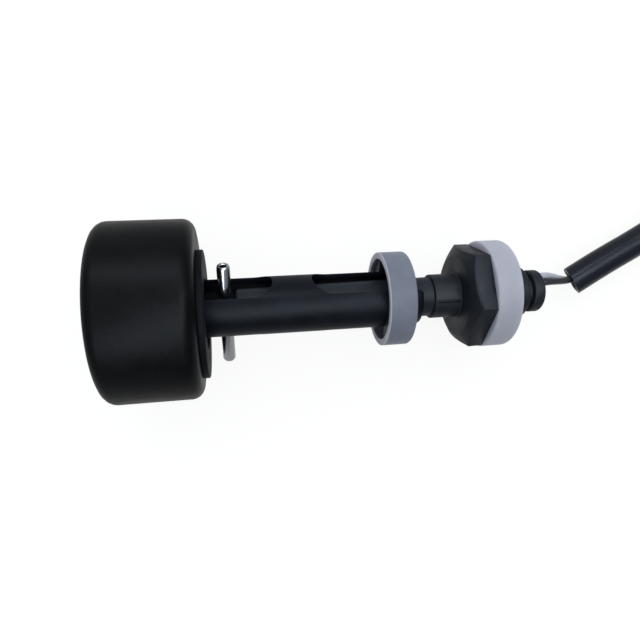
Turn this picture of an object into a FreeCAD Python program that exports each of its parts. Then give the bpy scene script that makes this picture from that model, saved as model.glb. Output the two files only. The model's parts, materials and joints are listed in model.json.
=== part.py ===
"""Liquid level sensor with a float on a slotted guide sleeve, lying on a table. Millimetres.

Every piece of the sensor is built along a local Z axis, the sensor's own axis: zero is the face of
the seal that meets the tank wall, the float is on the negative side and the lead on the positive
side. The pieces are then laid down together, so that the float and the seal touch the table.
"""

import FreeCAD
import Part
import Sketcher

import math
import os
import re

SIZES = (
    # Head: seal, hexagon, collar and spigot.
    ("seal_diameter", 25.4),
    ("seal_thickness", 6.2),
    ("seal_round", 1.0),
    ("hex_flats", 22.0),
    ("hex_thickness", 5.4),
    ("hex_bevel", 1.6),
    ("hex_turn", 137.2),
    ("collar_diameter", 10.4),
    ("collar_length", 6.4),
    ("shank_diameter", 12.3),
    ("shank_length", 5.6),
    ("head_bore", 6.8),
    ("spigot_wall", 1.0),
    ("groove_width", 1.2),
    ("bead_rise", 0.7),
    ("bead_length", 2.9),
    ("bead_bevel", 0.5),
    ("potting_back", 4.0),
    ("potting_inset", 1.1),
    # Probe with the reed switch.
    ("probe_tip_diameter", 8.0),
    ("probe_root_diameter", 9.3),
    ("probe_bore", 5.2),
    ("probe_tip_wall", 1.6),
    ("probe_bevel", 0.8),
    ("tenon_diameter", 7.6),
    ("tenon_length", 6.4),
    ("socket_gap", 0.2),
    ("reed_diameter", 2.2),
    ("reed_length", 14.0),
    ("reed_bevel", 0.6),
    ("reed_offset", 0.9),
    ("reed_tip_gap", 1.9),
    ("return_offset", 1.4),
    ("reed_lead_diameter", 0.6),
    ("return_bar_diameter", 0.8),
    # Guide sleeve with split fingers, slots and end stop.
    ("neck_length", 3.1),
    ("sleeve_diameter", 13.2),
    ("sleeve_wall", 1.0),
    ("nose_taper", 0.6),
    ("lip_length", 2.6),
    ("lip_clearance", 0.15),
    ("lip_slope", 0.8),
    ("finger_length", 25.2),
    ("slot_width", 8.6),
    ("slot_bridge", 8.9),
    ("slot_length", 22.8),
    ("slot_turn", 123.0),
    ("flange_thickness", 4.2),
    ("flange_clearance", 0.15),
    ("stop_rim", 2.6),
    ("stop_thickness", 1.8),
    ("stop_inset", 0.2),
    ("snug_gap", 0.05),
    # White ring that keeps the fingers closed.
    ("ring_setback", 3.0),
    ("ring_diameter", 21.9),
    ("ring_length", 6.2),
    ("ring_wall", 1.5),
    ("ring_web", 1.2),
    ("ring_bevel", 0.5),
    # Pin, magnet plug and magnet.
    ("pin_setback", 10.6),
    ("pin_diameter", 3.0),
    ("pin_wall", 0.65),
    ("pin_slit", 0.7),
    ("pin_length", 25.2),
    ("pin_shift", 1.9),
    ("pin_bevel", 0.4),
    ("plug_clearance", 0.3),
    ("plug_nose", 1.9),
    ("plug_tip_gap", 0.4),
    ("plug_neck_diameter", 7.2),
    ("plug_neck_length", 6.6),
    ("magnet_cover", 1.5),
    ("magnet_diameter", 5.0),
    ("magnet_length", 6.0),
    # Float and its washer.
    ("washer_setback", 4.2),
    ("washer_diameter", 28.8),
    ("washer_thickness", 1.4),
    ("washer_slack", 1.5),
    ("float_diameter", 40.0),
    ("float_length", 20.8),
    ("float_round", 2.6),
    ("float_clearance", 0.3),
    ("recess_clearance", 0.4),
    ("recess_depth", 8.2),
    # Lead wires, tubing and plug.
    ("wire_diameter", 1.7),
    ("wire_spacing", 2.1),
    ("cable_diameter", 7.3),
    ("housing_rim", 0.8),
    ("housing_side", 2.0),
    ("housing_floor", 4.0),
    ("entry_depth", 4.0),
    ("contact_side", 3.2),
    ("contact_pitch", 5.4),
    ("contact_depth", 11.0),
    ("contact_wall", 0.4),
    ("contact_inset", 1.0),
    ("latch_width", 5.0),
    ("latch_height", 1.4),
    ("latch_length", 10.0),
)
SIZE_NAMES = {name for name, value in SIZES}
WORD = re.compile(r"[a-z][a-z_]+")
ACROSS = FreeCAD.Rotation(FreeCAD.Vector(0, 1, 0), 90)
MATCH = 0.001
# Straight runs that make up each rounded rim.
FLOAT_RUNS = 3
SEAL_RUNS = 2

# Places along the axis, from the seal's face towards the float, each from the one before it.
HEX_BACK = "-seal_thickness"
HEX_FACE = HEX_BACK + " - hex_thickness"
SEAM = HEX_FACE + " - collar_length"
SLEEVE_END = SEAM + " - neck_length"
RING_NEAR = SLEEVE_END + " - ring_setback"
FLANGE_NEAR = RING_NEAR + " - ring_web"
FINGER_ROOT = SLEEVE_END + " - finger_length"
SLOT_NEAR = FINGER_ROOT + " - slot_bridge"
PIN_PLACE = SLOT_NEAR + " - pin_setback"
PLUG_NEAR = PIN_PLACE + " + plug_nose"
MAGNET_NEAR = PIN_PLACE + " - pin_diameter / 2 - magnet_cover"
PLUG_FAR = MAGNET_NEAR + " - magnet_length"
PROBE_TIP = PLUG_NEAR + " + plug_tip_gap"
REED_FAR = PROBE_TIP + " + probe_tip_wall + reed_tip_gap"
WASHER_NEAR = PIN_PLACE + " - washer_setback"
FLOAT_NEAR = WASHER_NEAR + " - washer_thickness"
FLOAT_FAR = FLOAT_NEAR + " - float_length"
STOP_FAR = FLOAT_FAR + " + stop_inset"
# Places from the seal's face towards the lead.
GROOVE_END = "shank_length + groove_width"
SPIGOT_END = GROOVE_END + " + bead_length"
POTTING_FACE = SPIGOT_END + " - potting_inset"
# Radii that several pieces share.
SLEEVE_OUTSIDE = "sleeve_diameter / 2"
SLEEVE_BORE = "sleeve_diameter / 2 - sleeve_wall"
STOP_OUTSIDE = "sleeve_diameter / 2 + stop_rim"
RING_BORE = "ring_diameter / 2 - ring_wall"
# The plug on the lead.
HOUSING_HEIGHT = "(cable_diameter + 2 * housing_rim)"
HOUSING_WIDTH = "(contact_pitch + contact_side + 2 * housing_side)"
CONTACT_START = "entry_depth + housing_floor"
CONTACT_SIDES = (("left", -1), ("right", 1))
HOUSING_LENGTH = CONTACT_START + " + contact_depth"

doc = FreeCAD.newDocument("level_sensor")
sheet = doc.addObject("Spreadsheet::Sheet", "Sizes")
for row, (name, value) in enumerate(SIZES, start=1):
    sheet.set(f"A{row}", name)
    sheet.set(f"B{row}", str(value))
    sheet.setAlias(f"B{row}", name)
doc.recompute()


def formula(text):
    """The text with each size's name turned into its cell's address."""
    return WORD.sub(lambda m: "Sizes." + m.group() if m.group() in SIZE_NAMES else m.group(), text)


def bind(thing, **sizes):
    """Bind an object's properties to formulas of the sheet's sizes."""
    for name, text in sizes.items():
        thing.setExpression(name, formula(text))


def put(thing, x="0", y="0", z="0", turn=None):
    """Place a feature within its body, with each coordinate bound to a formula."""
    if turn is not None:
        thing.Placement = FreeCAD.Placement(FreeCAD.Vector(0, 0, 0), turn)
    for axis, text in (("x", x), ("y", y), ("z", z)):
        thing.setExpression("Placement.Base." + axis, formula(text))


def new_body(name, roll=0.0):
    """An empty body on the sensor's axis, turned about that axis by roll degrees."""
    body = doc.addObject("PartDesign::Body", name)
    body.Label = name
    turn = FreeCAD.Rotation(FreeCAD.Vector(0, 0, 1), roll)
    body.Placement = FreeCAD.Placement(FreeCAD.Vector(0, 0, 0), turn)
    return body


def plane(body, role):
    return next(f for f in body.Origin.OriginFeatures if f.Role == role)


def profile(body, name, points):
    """A closed outline of straight lines in the body's XZ plane, from (radius, place) formulas."""
    sketch = body.newObject("Sketcher::SketchObject", f"{body.Label}_{name}")
    sketch.AttachmentSupport = [(plane(body, "XZ_Plane"), "")]
    sketch.MapMode = "FlatFace"
    count = len(points)
    # The outline starts as a rough loop, which the constraints then pull to its true points.
    start = []
    for i, (radius, place) in enumerate(points):
        turn = 2 * math.pi * i / count
        x = 0.0 if radius == "0" else 2 + math.cos(turn)
        start.append(FreeCAD.Vector(x, math.sin(turn), 0))
    for i in range(count):
        sketch.addGeometry(Part.LineSegment(start[i], start[(i + 1) % count]))
    for i in range(count):
        sketch.addConstraint(Sketcher.Constraint("Coincident", i, 2, (i + 1) % count, 1))
    for i, (radius, place) in enumerate(points):
        if radius == "0":
            sketch.addConstraint(Sketcher.Constraint("PointOnObject", i, 1, -2))
        else:
            index = sketch.addConstraint(Sketcher.Constraint("DistanceX", -1, 1, i, 1, start[i].x))
            sketch.renameConstraint(index, f"radius_{i}")
            sketch.setExpression(f"Constraints.radius_{i}", formula(radius))
        index = sketch.addConstraint(Sketcher.Constraint("DistanceY", -1, 1, i, 1, start[i].y))
        sketch.renameConstraint(index, f"place_{i}")
        sketch.setExpression(f"Constraints.place_{i}", formula(place))
    return sketch


def spin(body, name, points, kind="Revolution"):
    """Turn an outline about the axis, to add material or, as a Groove, to cut it."""
    sketch = profile(body, name + "_outline", points)
    feature = body.newObject("PartDesign::" + kind, f"{body.Label}_{name}")
    feature.Profile = sketch
    feature.ReferenceAxis = (sketch, ["V_Axis"])
    feature.Angle = 360
    doc.recompute()
    return feature


def block(body, name, kind, length, width, height, x, y, z):
    """A box within a body, added or cut, whose corner is at x, y, z."""
    feature = body.newObject(f"PartDesign::{kind}Box", f"{body.Label}_{name}")
    bind(feature, Length=length, Width=width, Height=height)
    put(feature, x, y, z)
    doc.recompute()
    return feature


def rod(body, name, kind, radius, height, x="0", y="0", z="0", turn=None):
    """A cylinder within a body, added or cut, along Z or along what turn makes of Z."""
    feature = body.newObject(f"PartDesign::{kind}Cylinder", f"{body.Label}_{name}")
    bind(feature, Radius=radius, Height=height)
    put(feature, x, y, z, turn)
    doc.recompute()
    return feature


def rims(feature, radius):
    """Names of a feature's circular edges that have that radius."""
    found = []
    for i, edge in enumerate(feature.Shape.Edges, start=1):
        if isinstance(edge.Curve, Part.Circle) and abs(edge.Curve.Radius - radius) < MATCH:
            found.append(f"Edge{i}")
    return found


def near_rim(feature, radius):
    """The one of those edges that is nearest to the lead."""
    def place(edge_name):
        return feature.Shape.getElement(edge_name).Curve.Center.z
    return [max(rims(feature, radius), key=place)]


def bevel(body, name, feature, edges, size):
    """Bevel the named edges of a feature by one of the sheet's sizes."""
    if not edges:
        raise ValueError(f"{body.Label} has no edges for {name}")
    dress = body.newObject("PartDesign::Chamfer", f"{body.Label}_{name}")
    dress.Base = (feature, edges)
    bind(dress, Size=size)
    doc.recompute()
    return dress


def rounded_rim(radius, place, size, inward, runs):
    """An outer rim's rounding in short straight runs, from the end face to the side wall.

    inward is the sign of the way from the end face into the piece.
    """
    points = []
    for step in range(runs + 1):
        turn = math.pi / 2 * step / runs
        back = round(1 - math.sin(turn), 5)
        drop = round(1 - math.cos(turn), 5)
        points.append((f"{radius} - {back} * {size}", f"{place} {inward} {drop} * {size}"))
    return points


def make_float():
    body = new_body("float")
    bore = SLEEVE_OUTSIDE + " + float_clearance"
    recess = STOP_OUTSIDE + " + recess_clearance"
    recess_end = FLOAT_FAR + " + recess_depth"
    near_rim_points = rounded_rim("float_diameter / 2", FLOAT_NEAR, "float_round", "-", FLOAT_RUNS)
    far_rim_points = rounded_rim("float_diameter / 2", FLOAT_FAR, "float_round", "+", FLOAT_RUNS)
    spin(body, "turned", (
        (bore, FLOAT_NEAR),
        *near_rim_points,
        *reversed(far_rim_points),
        (recess, FLOAT_FAR),
        (recess, recess_end),
        (bore, recess_end),
    ))
    return body


def make_washer():
    """A loose washer, which hangs to one side by the slack of its hole."""
    body = new_body("float_washer")
    hole = SLEEVE_OUTSIDE + " + washer_slack"
    aside = "float_clearance - washer_slack"
    rod(body, "disc", "Additive", "washer_diameter / 2", "washer_thickness", "0", aside, FLOAT_NEAR)
    rod(body, "hole", "Subtractive", hole, "washer_thickness", "0", aside, FLOAT_NEAR)
    return body


def make_pin():
    """A slotted spring pin across the axis, through the lower slots."""
    body = new_body("roll_pin", sheet.slot_turn)
    left = "-pin_length / 2 - pin_shift"
    whole = rod(body, "outside", "Additive", "pin_diameter / 2", "pin_length",
                left, "0", PIN_PLACE, ACROSS)
    bevel(body, "bevelled", whole, rims(whole, sheet.pin_diameter / 2), "pin_bevel")
    rod(body, "hollow", "Subtractive", "pin_diameter / 2 - pin_wall", "pin_length",
        left, "0", PIN_PLACE, ACROSS)
    block(body, "slit", "Subtractive", "pin_length", "pin_slit", "pin_diameter",
          left, "-pin_slit / 2", PIN_PLACE + " - pin_diameter")
    return body


def make_plug():
    """The carrier of the magnet: a neck that the pin crosses, and a guide that runs in the sleeve."""
    body = new_body("magnet_plug", sheet.slot_turn)
    outside = SLEEVE_BORE + " - plug_clearance"
    neck = "plug_neck_diameter / 2"
    neck_far = PLUG_NEAR + " - plug_neck_length"
    pocket = "magnet_diameter / 2 + snug_gap"
    spin(body, "turned", (
        ("0", PLUG_NEAR),
        (neck, PLUG_NEAR),
        (neck, neck_far),
        (outside, neck_far),
        (outside, PLUG_FAR),
        (pocket, PLUG_FAR),
        (pocket, MAGNET_NEAR),
        ("0", MAGNET_NEAR),
    ))
    rod(body, "pin_hole", "Subtractive", "pin_diameter / 2 + snug_gap", "2 * sleeve_diameter",
        "-sleeve_diameter", "0", PIN_PLACE, ACROSS)
    return body


def make_magnet():
    body = new_body("plug_magnet")
    rod(body, "round", "Additive", "magnet_diameter / 2", "magnet_length", "0", "0", PLUG_FAR)
    return body


def make_sleeve():
    """The guide sleeve: a tube with a flange, two split fingers and two pairs of slots."""
    body = new_body("guide_sleeve", sheet.slot_turn)
    flange = RING_BORE + " - flange_clearance"
    flange_far = FLANGE_NEAR + " - flange_thickness"
    lip = "probe_root_diameter / 2 + lip_clearance"
    lip_far = SLEEVE_END + " - lip_length"
    spin(body, "turned", (
        (SLEEVE_BORE, STOP_FAR),
        (SLEEVE_OUTSIDE, STOP_FAR),
        (SLEEVE_OUTSIDE, flange_far),
        (flange, flange_far),
        (flange, FLANGE_NEAR),
        (SLEEVE_OUTSIDE, FLANGE_NEAR),
        (SLEEVE_OUTSIDE, SLEEVE_END + " - lip_length / 2"),
        (SLEEVE_OUTSIDE + " - nose_taper", SLEEVE_END),
        (lip, SLEEVE_END),
        (lip, lip_far),
        (SLEEVE_BORE, lip_far + " - lip_slope"),
    ))
    left = "-ring_diameter"
    long = "2 * ring_diameter"
    side = "-slot_width / 2"
    low_middle = SLOT_NEAR + " - slot_length + slot_width / 2"
    high_middle = SLOT_NEAR + " - slot_width / 2"
    root_middle = FINGER_ROOT + " + slot_width / 2"
    block(body, "lower_slot", "Subtractive", long, "slot_width", "slot_length - slot_width",
          left, side, low_middle)
    block(body, "upper_slot", "Subtractive", long, "slot_width", "finger_length",
          left, side, root_middle)
    for name, place in (("low_end", low_middle), ("high_end", high_middle), ("finger_root", root_middle)):
        rod(body, name, "Subtractive", "slot_width / 2", long, left, "0", place, ACROSS)
    return body


def make_stop_ring():
    body = new_body("stop_ring")
    hole = SLEEVE_OUTSIDE + " + snug_gap"
    spin(body, "turned", (
        (hole, STOP_FAR),
        (STOP_OUTSIDE, STOP_FAR),
        (STOP_OUTSIDE, STOP_FAR + " + stop_thickness"),
        (hole, STOP_FAR + " + stop_thickness"),
    ))
    return body


def make_lock_ring():
    body = new_body("lock_ring")
    hole = SLEEVE_OUTSIDE + " + snug_gap"
    solid = spin(body, "turned", (
        (hole, RING_NEAR),
        ("ring_diameter / 2", RING_NEAR),
        ("ring_diameter / 2", RING_NEAR + " - ring_length"),
        (RING_BORE, RING_NEAR + " - ring_length"),
        (RING_BORE, FLANGE_NEAR),
        (hole, FLANGE_NEAR),
    ))
    bevel(body, "bevelled", solid, near_rim(solid, sheet.ring_diameter / 2), "ring_bevel")
    return body


def make_probe():
    """The drafted, closed tube that carries the reed switch, with a tenon in the collar."""
    body = new_body("probe_tube")
    solid = spin(body, "turned", (
        ("0", PROBE_TIP),
        ("probe_tip_diameter / 2", PROBE_TIP),
        ("probe_root_diameter / 2", SEAM),
        ("tenon_diameter / 2", SEAM),
        ("tenon_diameter / 2", SEAM + " + tenon_length"),
        ("probe_bore / 2", SEAM + " + tenon_length"),
        ("probe_bore / 2", PROBE_TIP + " + probe_tip_wall"),
        ("0", PROBE_TIP + " + probe_tip_wall"),
    ))
    bevel(body, "bevelled", solid, rims(solid, sheet.probe_tip_diameter / 2), "probe_bevel")
    return body


def make_head():
    """The moulded head: hexagon, collar and grooved spigot, bored for the probe and the wires."""
    body = new_body("head_body", sheet.hex_turn)
    corner = "hex_flats / sqrt(3)"
    prism = body.newObject("PartDesign::AdditivePrism", "head_body_hexagon")
    prism.Polygon = 6
    bind(prism, Circumradius=corner, Height="hex_thickness")
    put(prism, "0", "0", HEX_FACE)
    doc.recompute()
    groove = "head_bore / 2 + spigot_wall"
    bead = groove + " + bead_rise"
    hex_middle = HEX_BACK + " - hex_thickness / 2"
    solid = spin(body, "turned", (
        ("0", SEAM),
        ("collar_diameter / 2", SEAM),
        ("collar_diameter / 2", hex_middle),
        ("shank_diameter / 2", hex_middle),
        ("shank_diameter / 2", "shank_length"),
        (groove, "shank_length"),
        (groove, GROOVE_END),
        (bead, GROOVE_END),
        (bead, SPIGOT_END),
        ("0", SPIGOT_END),
    ))
    bead_radius = sheet.head_bore / 2 + sheet.spigot_wall + sheet.bead_rise
    bevel(body, "bead_bevel", solid, rims(solid, bead_radius), "bead_bevel")
    rim = corner + " + hex_bevel"
    face = "hex_flats / 2 - hex_bevel"
    spin(body, "hex_bevel", (
        (face, HEX_FACE),
        (rim, HEX_FACE),
        (rim, HEX_FACE + " + (" + rim + " - (" + face + ")) / sqrt(3)"),
    ), "Groove")
    socket = "tenon_diameter / 2 + snug_gap"
    socket_end = SEAM + " + tenon_length + socket_gap"
    spin(body, "bores", (
        ("0", SEAM),
        (socket, SEAM),
        (socket, socket_end),
        ("head_bore / 2", socket_end),
        ("head_bore / 2", SPIGOT_END),
        ("0", SPIGOT_END),
    ), "Groove")
    return body


def make_seal():
    body = new_body("mounting_seal")
    hole = "shank_diameter / 2 + snug_gap"
    far_rim_points = rounded_rim("seal_diameter / 2", HEX_BACK, "seal_round", "+", SEAL_RUNS)
    near_rim_points = rounded_rim("seal_diameter / 2", "0", "seal_round", "-", SEAL_RUNS)
    spin(body, "turned", (
        (hole, HEX_BACK),
        *far_rim_points,
        *reversed(near_rim_points),
        (hole, "0"),
    ))
    return body


def make_reed_glass():
    body = new_body("reed_glass")
    glass = rod(body, "capsule", "Additive", "reed_diameter / 2", "reed_length",
                "-reed_offset", "0", REED_FAR)
    bevel(body, "bevelled", glass, rims(glass, sheet.reed_diameter / 2), "reed_bevel")
    return body


def make_near_lead():
    """The straight lead from the reed switch to the potting."""
    body = new_body("reed_lead_near")
    reed_near = REED_FAR + " + reed_length"
    rod(body, "straight", "Additive", "reed_lead_diameter / 2", "-potting_back - (" + reed_near + ")",
        "-reed_offset", "0", reed_near)
    return body


def make_return_lead():
    """The lead of the reed switch's far end, led back along the capsule to the potting by a bar."""
    body = new_body("reed_lead_return")
    radius = "reed_lead_diameter / 2"
    bar = "return_bar_diameter / 2"
    bend = REED_FAR + " - reed_tip_gap / 2"
    rod(body, "bar", "Additive", bar, "reed_offset + return_offset + return_bar_diameter",
        "-reed_offset - " + bar, "0", bend, ACROSS)
    rod(body, "tip", "Additive", radius, "reed_tip_gap / 2", "-reed_offset", "0", bend)
    rod(body, "back", "Additive", radius, "-potting_back - (" + bend + ")", "return_offset", "0", bend)
    return body


def make_potting():
    body = new_body("potting_plug")
    rod(body, "filled", "Additive", "head_bore / 2 - snug_gap", POTTING_FACE + " + potting_back",
        "0", "0", "-potting_back")
    return body


def pipe_path(points):
    """Straight runs joined by tangent arcs, each arc as large as its two runs allow."""
    edges = []
    radii = []
    start = points[0]
    for before, corner, after in zip(points, points[1:], points[2:]):
        back = (before - corner).normalize()
        ahead = (after - corner).normalize()
        half_turn = (math.pi - back.getAngle(ahead)) / 2
        tangent = 0.45 * min((corner - before).Length, (after - corner).Length)
        radius = tangent / math.tan(half_turn)
        entry = corner + back * tangent
        leave = corner + ahead * tangent
        inward = (back + ahead).normalize()
        middle = corner + inward * (radius / math.cos(half_turn) - radius)
        edges.append(Part.LineSegment(start, entry).toShape())
        edges.append(Part.Arc(entry, middle, leave).toShape())
        radii.append(round(radius, 1))
        start = leave
    edges.append(Part.LineSegment(start, points[-1]).toShape())
    return Part.Wire(edges), radii


def make_pipe(name, points, diameter):
    """A round solid along a route of points."""
    path, radii = pipe_path(points)
    section = Part.Wire([Part.Circle(points[0], points[1] - points[0], diameter / 2).toShape()])
    node = doc.addObject("Part::Feature", name)
    node.Label = name
    node.Shape = path.makePipeShell([section], True, False)
    node.Placement = FreeCAD.Placement()
    expected = math.pi * diameter**2 / 4 * path.Length
    print(name, "radii", radii, "length", round(path.Length, 1),
          "volume over section times length", round(node.Shape.Volume / expected, 4))
    return node


def lay_down(pieces, float_face):
    """Lay the sensor on its two rounded rims and return the placement and the table's height.

    Local Z becomes the axis, which slopes down towards the lead, local -X faces up and Y stays level.
    """
    run = float_face + sheet.float_round - sheet.seal_round
    rise = (sheet.float_diameter - sheet.seal_diameter) / 2 - sheet.float_round + sheet.seal_round
    step = sheet.float_round - sheet.seal_round
    lean = math.atan2(rise, run) + math.asin(step / math.hypot(run, rise))
    turn = FreeCAD.Rotation(FreeCAD.Vector(0, 1, 0), 90 + math.degrees(lean))
    laid = FreeCAD.Placement(FreeCAD.Vector(0, 0, 0), turn)
    for piece in pieces:
        piece.Placement = laid.multiply(piece.Placement)
    seal_rim = sheet.seal_diameter / 2 - sheet.seal_round
    table = sheet.seal_round * math.sin(lean) - seal_rim * math.cos(lean) - sheet.seal_round
    print("lean", round(math.degrees(lean), 3), "table", round(table, 3))
    return laid, table


# Routes of the lead, chosen by hand: the middle of the wire pair, then the middle of the tubing.
# The tubing's heights are above the table, with its last points at the middle of the plug.
WIRE_ROUTE = (
    (8.90, 1.90, -0.90),
    (12.40, 3.00, -1.20),
    (21.60, 2.02, -6.85),
)
TUBE_ROUTE = (
    (22.2, 1.94, 5.24),
    (31.5, 6.86, 4.5),
    (42.0, 11.85, 3.8),
    (57.6, 20.6, 3.7),
    (70.0, 34.6, 3.7),
    (75.6, 48.0, 3.7),
    (77.4, 59.5, 4.45),
    (77.9, 70.0, 4.45),
)


def make_wires(laid):
    """The two lead wires, one above the other as they leave the spigot."""
    upwards = laid.Rotation.multVec(FreeCAD.Vector(-1, 0, 0)) * (sheet.wire_spacing / 2)
    route = [FreeCAD.Vector(*point) for point in WIRE_ROUTE]
    light = make_pipe("lead_wire_light", [point + upwards for point in route], sheet.wire_diameter)
    dark = make_pipe("lead_wire_dark", [point - upwards for point in route], sheet.wire_diameter)
    return [light, dark]


def make_tubing(table):
    points = [FreeCAD.Vector(x, y, table + height) for x, y, height in TUBE_ROUTE]
    return make_pipe("cable_sleeve", points, sheet.cable_diameter)


def plug_placement(table):
    """The plug lies level at the end of the tubing, with its own Z along the tubing."""
    before, end = (FreeCAD.Vector(x, y, table + height) for x, y, height in TUBE_ROUTE[-2:])
    along = (end - before).normalize()
    up = FreeCAD.Vector(0, 0, 1)
    turn = FreeCAD.Rotation(up.cross(along), up, along, "ZYX")
    return FreeCAD.Placement(end - along * sheet.entry_depth, turn)


def make_housing():
    """A plain two-way plug with a latch, an entry for the tubing and two cavities."""
    body = new_body("connector_housing")
    half_height = HOUSING_HEIGHT + " / 2"
    block(body, "case", "Additive", HOUSING_WIDTH, HOUSING_HEIGHT, HOUSING_LENGTH,
          "-" + HOUSING_WIDTH + " / 2", "-" + half_height, "0")
    block(body, "latch", "Additive", "latch_width", "latch_height", "latch_length",
          "-latch_width / 2", half_height, HOUSING_LENGTH + " - latch_length")
    rod(body, "entry", "Subtractive", "cable_diameter / 2 + snug_gap", "entry_depth")
    for name, side in CONTACT_SIDES:
        block(body, f"cavity_{name}", "Subtractive", "contact_side", "contact_side", "contact_depth",
              f"{side} * contact_pitch / 2 - contact_side / 2", "-contact_side / 2", CONTACT_START)
    return body


def make_contact(name, side):
    body = new_body(f"contact_{name}")
    left = f"{side} * contact_pitch / 2 - contact_side / 2"
    low = "-contact_side / 2"
    inner = "contact_side - 2 * contact_wall"
    long = "contact_depth - contact_inset"
    block(body, "box", "Additive", "contact_side", "contact_side", long, left, low, CONTACT_START)
    block(body, "socket", "Subtractive", inner, inner, long,
          left + " + contact_wall", low + " + contact_wall", CONTACT_START + " + contact_wall")
    return body


def make_connector(table):
    pieces = [make_housing()]
    pieces += [make_contact(name, side) for name, side in CONTACT_SIDES]
    seat = plug_placement(table)
    for piece in pieces:
        piece.Placement = seat
    return pieces


def main():
    float_body = make_float()
    float_face = -float_body.Shape.BoundBox.ZMax
    sensor = [
        float_body,
        make_washer(),
        make_pin(),
        make_plug(),
        make_magnet(),
        make_sleeve(),
        make_stop_ring(),
        make_lock_ring(),
        make_probe(),
        make_head(),
        make_seal(),
        make_reed_glass(),
        make_near_lead(),
        make_return_lead(),
        make_potting(),
    ]
    laid, table = lay_down(sensor, float_face)
    nodes = sensor + make_wires(laid) + [make_tubing(table)] + make_connector(table)
    doc.recompute()
    for thing in doc.Objects:
        if "Invalid" in thing.State or "Error" in thing.State:
            raise RuntimeError(f"{thing.Label} failed: {thing.State}")
    os.makedirs("parts", exist_ok=True)
    for node in nodes:
        if node.Shape.isNull() or not node.Shape.isValid() or len(node.Shape.Solids) != 1:
            raise RuntimeError(f"{node.Label} is not one valid solid")
        node.Shape.exportStep(f"parts/{node.Label}.step")
        print(node.Label, "volume", round(node.Shape.Volume, 1))


main()
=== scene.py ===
"""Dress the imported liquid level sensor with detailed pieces, materials and a studio stage.

The sensor's pieces are modelled in millimetres along a local Z axis, which is the sensor's own axis:
zero is the face of the seal that meets the tank wall, and the lead is on the positive side. Each
finished piece is then laid down on the CAD frame, which is in metres.
"""

import json
import math

import bmesh
import bpy
from bpy.props import FloatProperty, FloatVectorProperty, PointerProperty
from mathutils import Matrix, Vector


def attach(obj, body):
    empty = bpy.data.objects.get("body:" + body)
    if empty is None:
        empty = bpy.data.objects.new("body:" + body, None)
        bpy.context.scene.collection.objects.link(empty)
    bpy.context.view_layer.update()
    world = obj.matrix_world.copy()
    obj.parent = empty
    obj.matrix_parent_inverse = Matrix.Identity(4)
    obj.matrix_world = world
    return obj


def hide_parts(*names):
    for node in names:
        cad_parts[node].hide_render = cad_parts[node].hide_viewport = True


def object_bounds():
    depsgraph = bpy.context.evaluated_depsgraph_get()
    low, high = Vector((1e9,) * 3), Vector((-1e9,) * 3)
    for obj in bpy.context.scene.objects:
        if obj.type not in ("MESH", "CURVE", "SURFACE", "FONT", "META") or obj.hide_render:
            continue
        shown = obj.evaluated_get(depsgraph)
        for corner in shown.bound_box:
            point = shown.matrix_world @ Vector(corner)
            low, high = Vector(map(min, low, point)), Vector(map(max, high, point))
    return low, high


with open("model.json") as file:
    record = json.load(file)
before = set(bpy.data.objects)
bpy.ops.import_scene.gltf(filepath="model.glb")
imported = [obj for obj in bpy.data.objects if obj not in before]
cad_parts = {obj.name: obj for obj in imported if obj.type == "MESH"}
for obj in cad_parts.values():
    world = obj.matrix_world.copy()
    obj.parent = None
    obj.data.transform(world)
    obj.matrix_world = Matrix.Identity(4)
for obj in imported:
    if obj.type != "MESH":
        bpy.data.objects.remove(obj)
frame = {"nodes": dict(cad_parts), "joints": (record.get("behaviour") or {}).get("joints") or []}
CAD_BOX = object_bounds()

bl_info = {
    "name": "Liquid Level Sensor",
    "version": (1, 0, 0),
    "blender": (4, 5, 0),
    "location": "View3D > Sidebar > Sensor",
    "description": "Builds a float level sensor on its CAD frame, with materials and a studio stage",
    "category": "Object",
}

MM = 0.001
# In millimetres: points this near to one another are one, and the gap between pieces that fit snugly.
TOUCH = 0.001
SNUG = 0.05
FULL_TURN = 2 * math.pi
SMOOTH_BELOW = math.radians(32)
# Steps of a whole turn: as a rule, on wide pieces, on the sleeve and on the bevel of the hexagon.
TURN_STEPS = 96
WIDE_STEPS = 128
SLEEVE_STEPS = 76
BEVEL_STEPS = 192
AXIS = Vector(frame["joints"][0]["axis"])
LEAN = math.asin(-AXIS.z)
LAID = Matrix.Rotation(math.pi / 2 + LEAN, 4, "Y") @ Matrix.Scale(MM, 4)
TABLE = CAD_BOX[0][2]

# Routes of the lead in metres, as the CAD has them. The wires go on for a little inside the tubing,
# and the tubing's heights are above the table.
WIRE_ROUTE = (
    (0.0080, 0.00162, -0.00082),
    (0.0089, 0.00190, -0.00090),
    (0.0124, 0.00300, -0.00120),
    (0.0216, 0.00202, -0.00685),
    (0.0262, 0.00406, -0.00762),
    (0.0302, 0.00617, -0.00794),
)
TUBE_ROUTE = (
    (0.0222, 0.00194, 0.00524),
    (0.0315, 0.00686, 0.00450),
    (0.0420, 0.01185, 0.00380),
    (0.0576, 0.02060, 0.00370),
    (0.0700, 0.03460, 0.00370),
    (0.0756, 0.04800, 0.00370),
    (0.0774, 0.05950, 0.00445),
    (0.0779, 0.07000, 0.00445),
)
TUBE_POINTS = tuple((x, y, TABLE + height) for x, y, height in TUBE_ROUTE)

# The photograph's camera, in metres: its place and the directions of its right and up.
EYE = (-0.050605, 0.0, 0.130252)
EYE_RIGHT = (0.99711, -0.05483, 0.05249)
EYE_UP = (0.05644, 0.99796, -0.02969)
EYE_LENS = 30.524
# The side of the sky that is brightest, and how bright the sky is away from it and towards it. Its two
# ends, along X, fall off to a share of that.
SKY_SIDE = (0.2, 0.9, 0.38)
SKY_LEVELS = (0.56, 1.5)
SKY_ENDS = 0.5
SKY_TINT = (0.93, 0.96, 1.0, 1.0)
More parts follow.
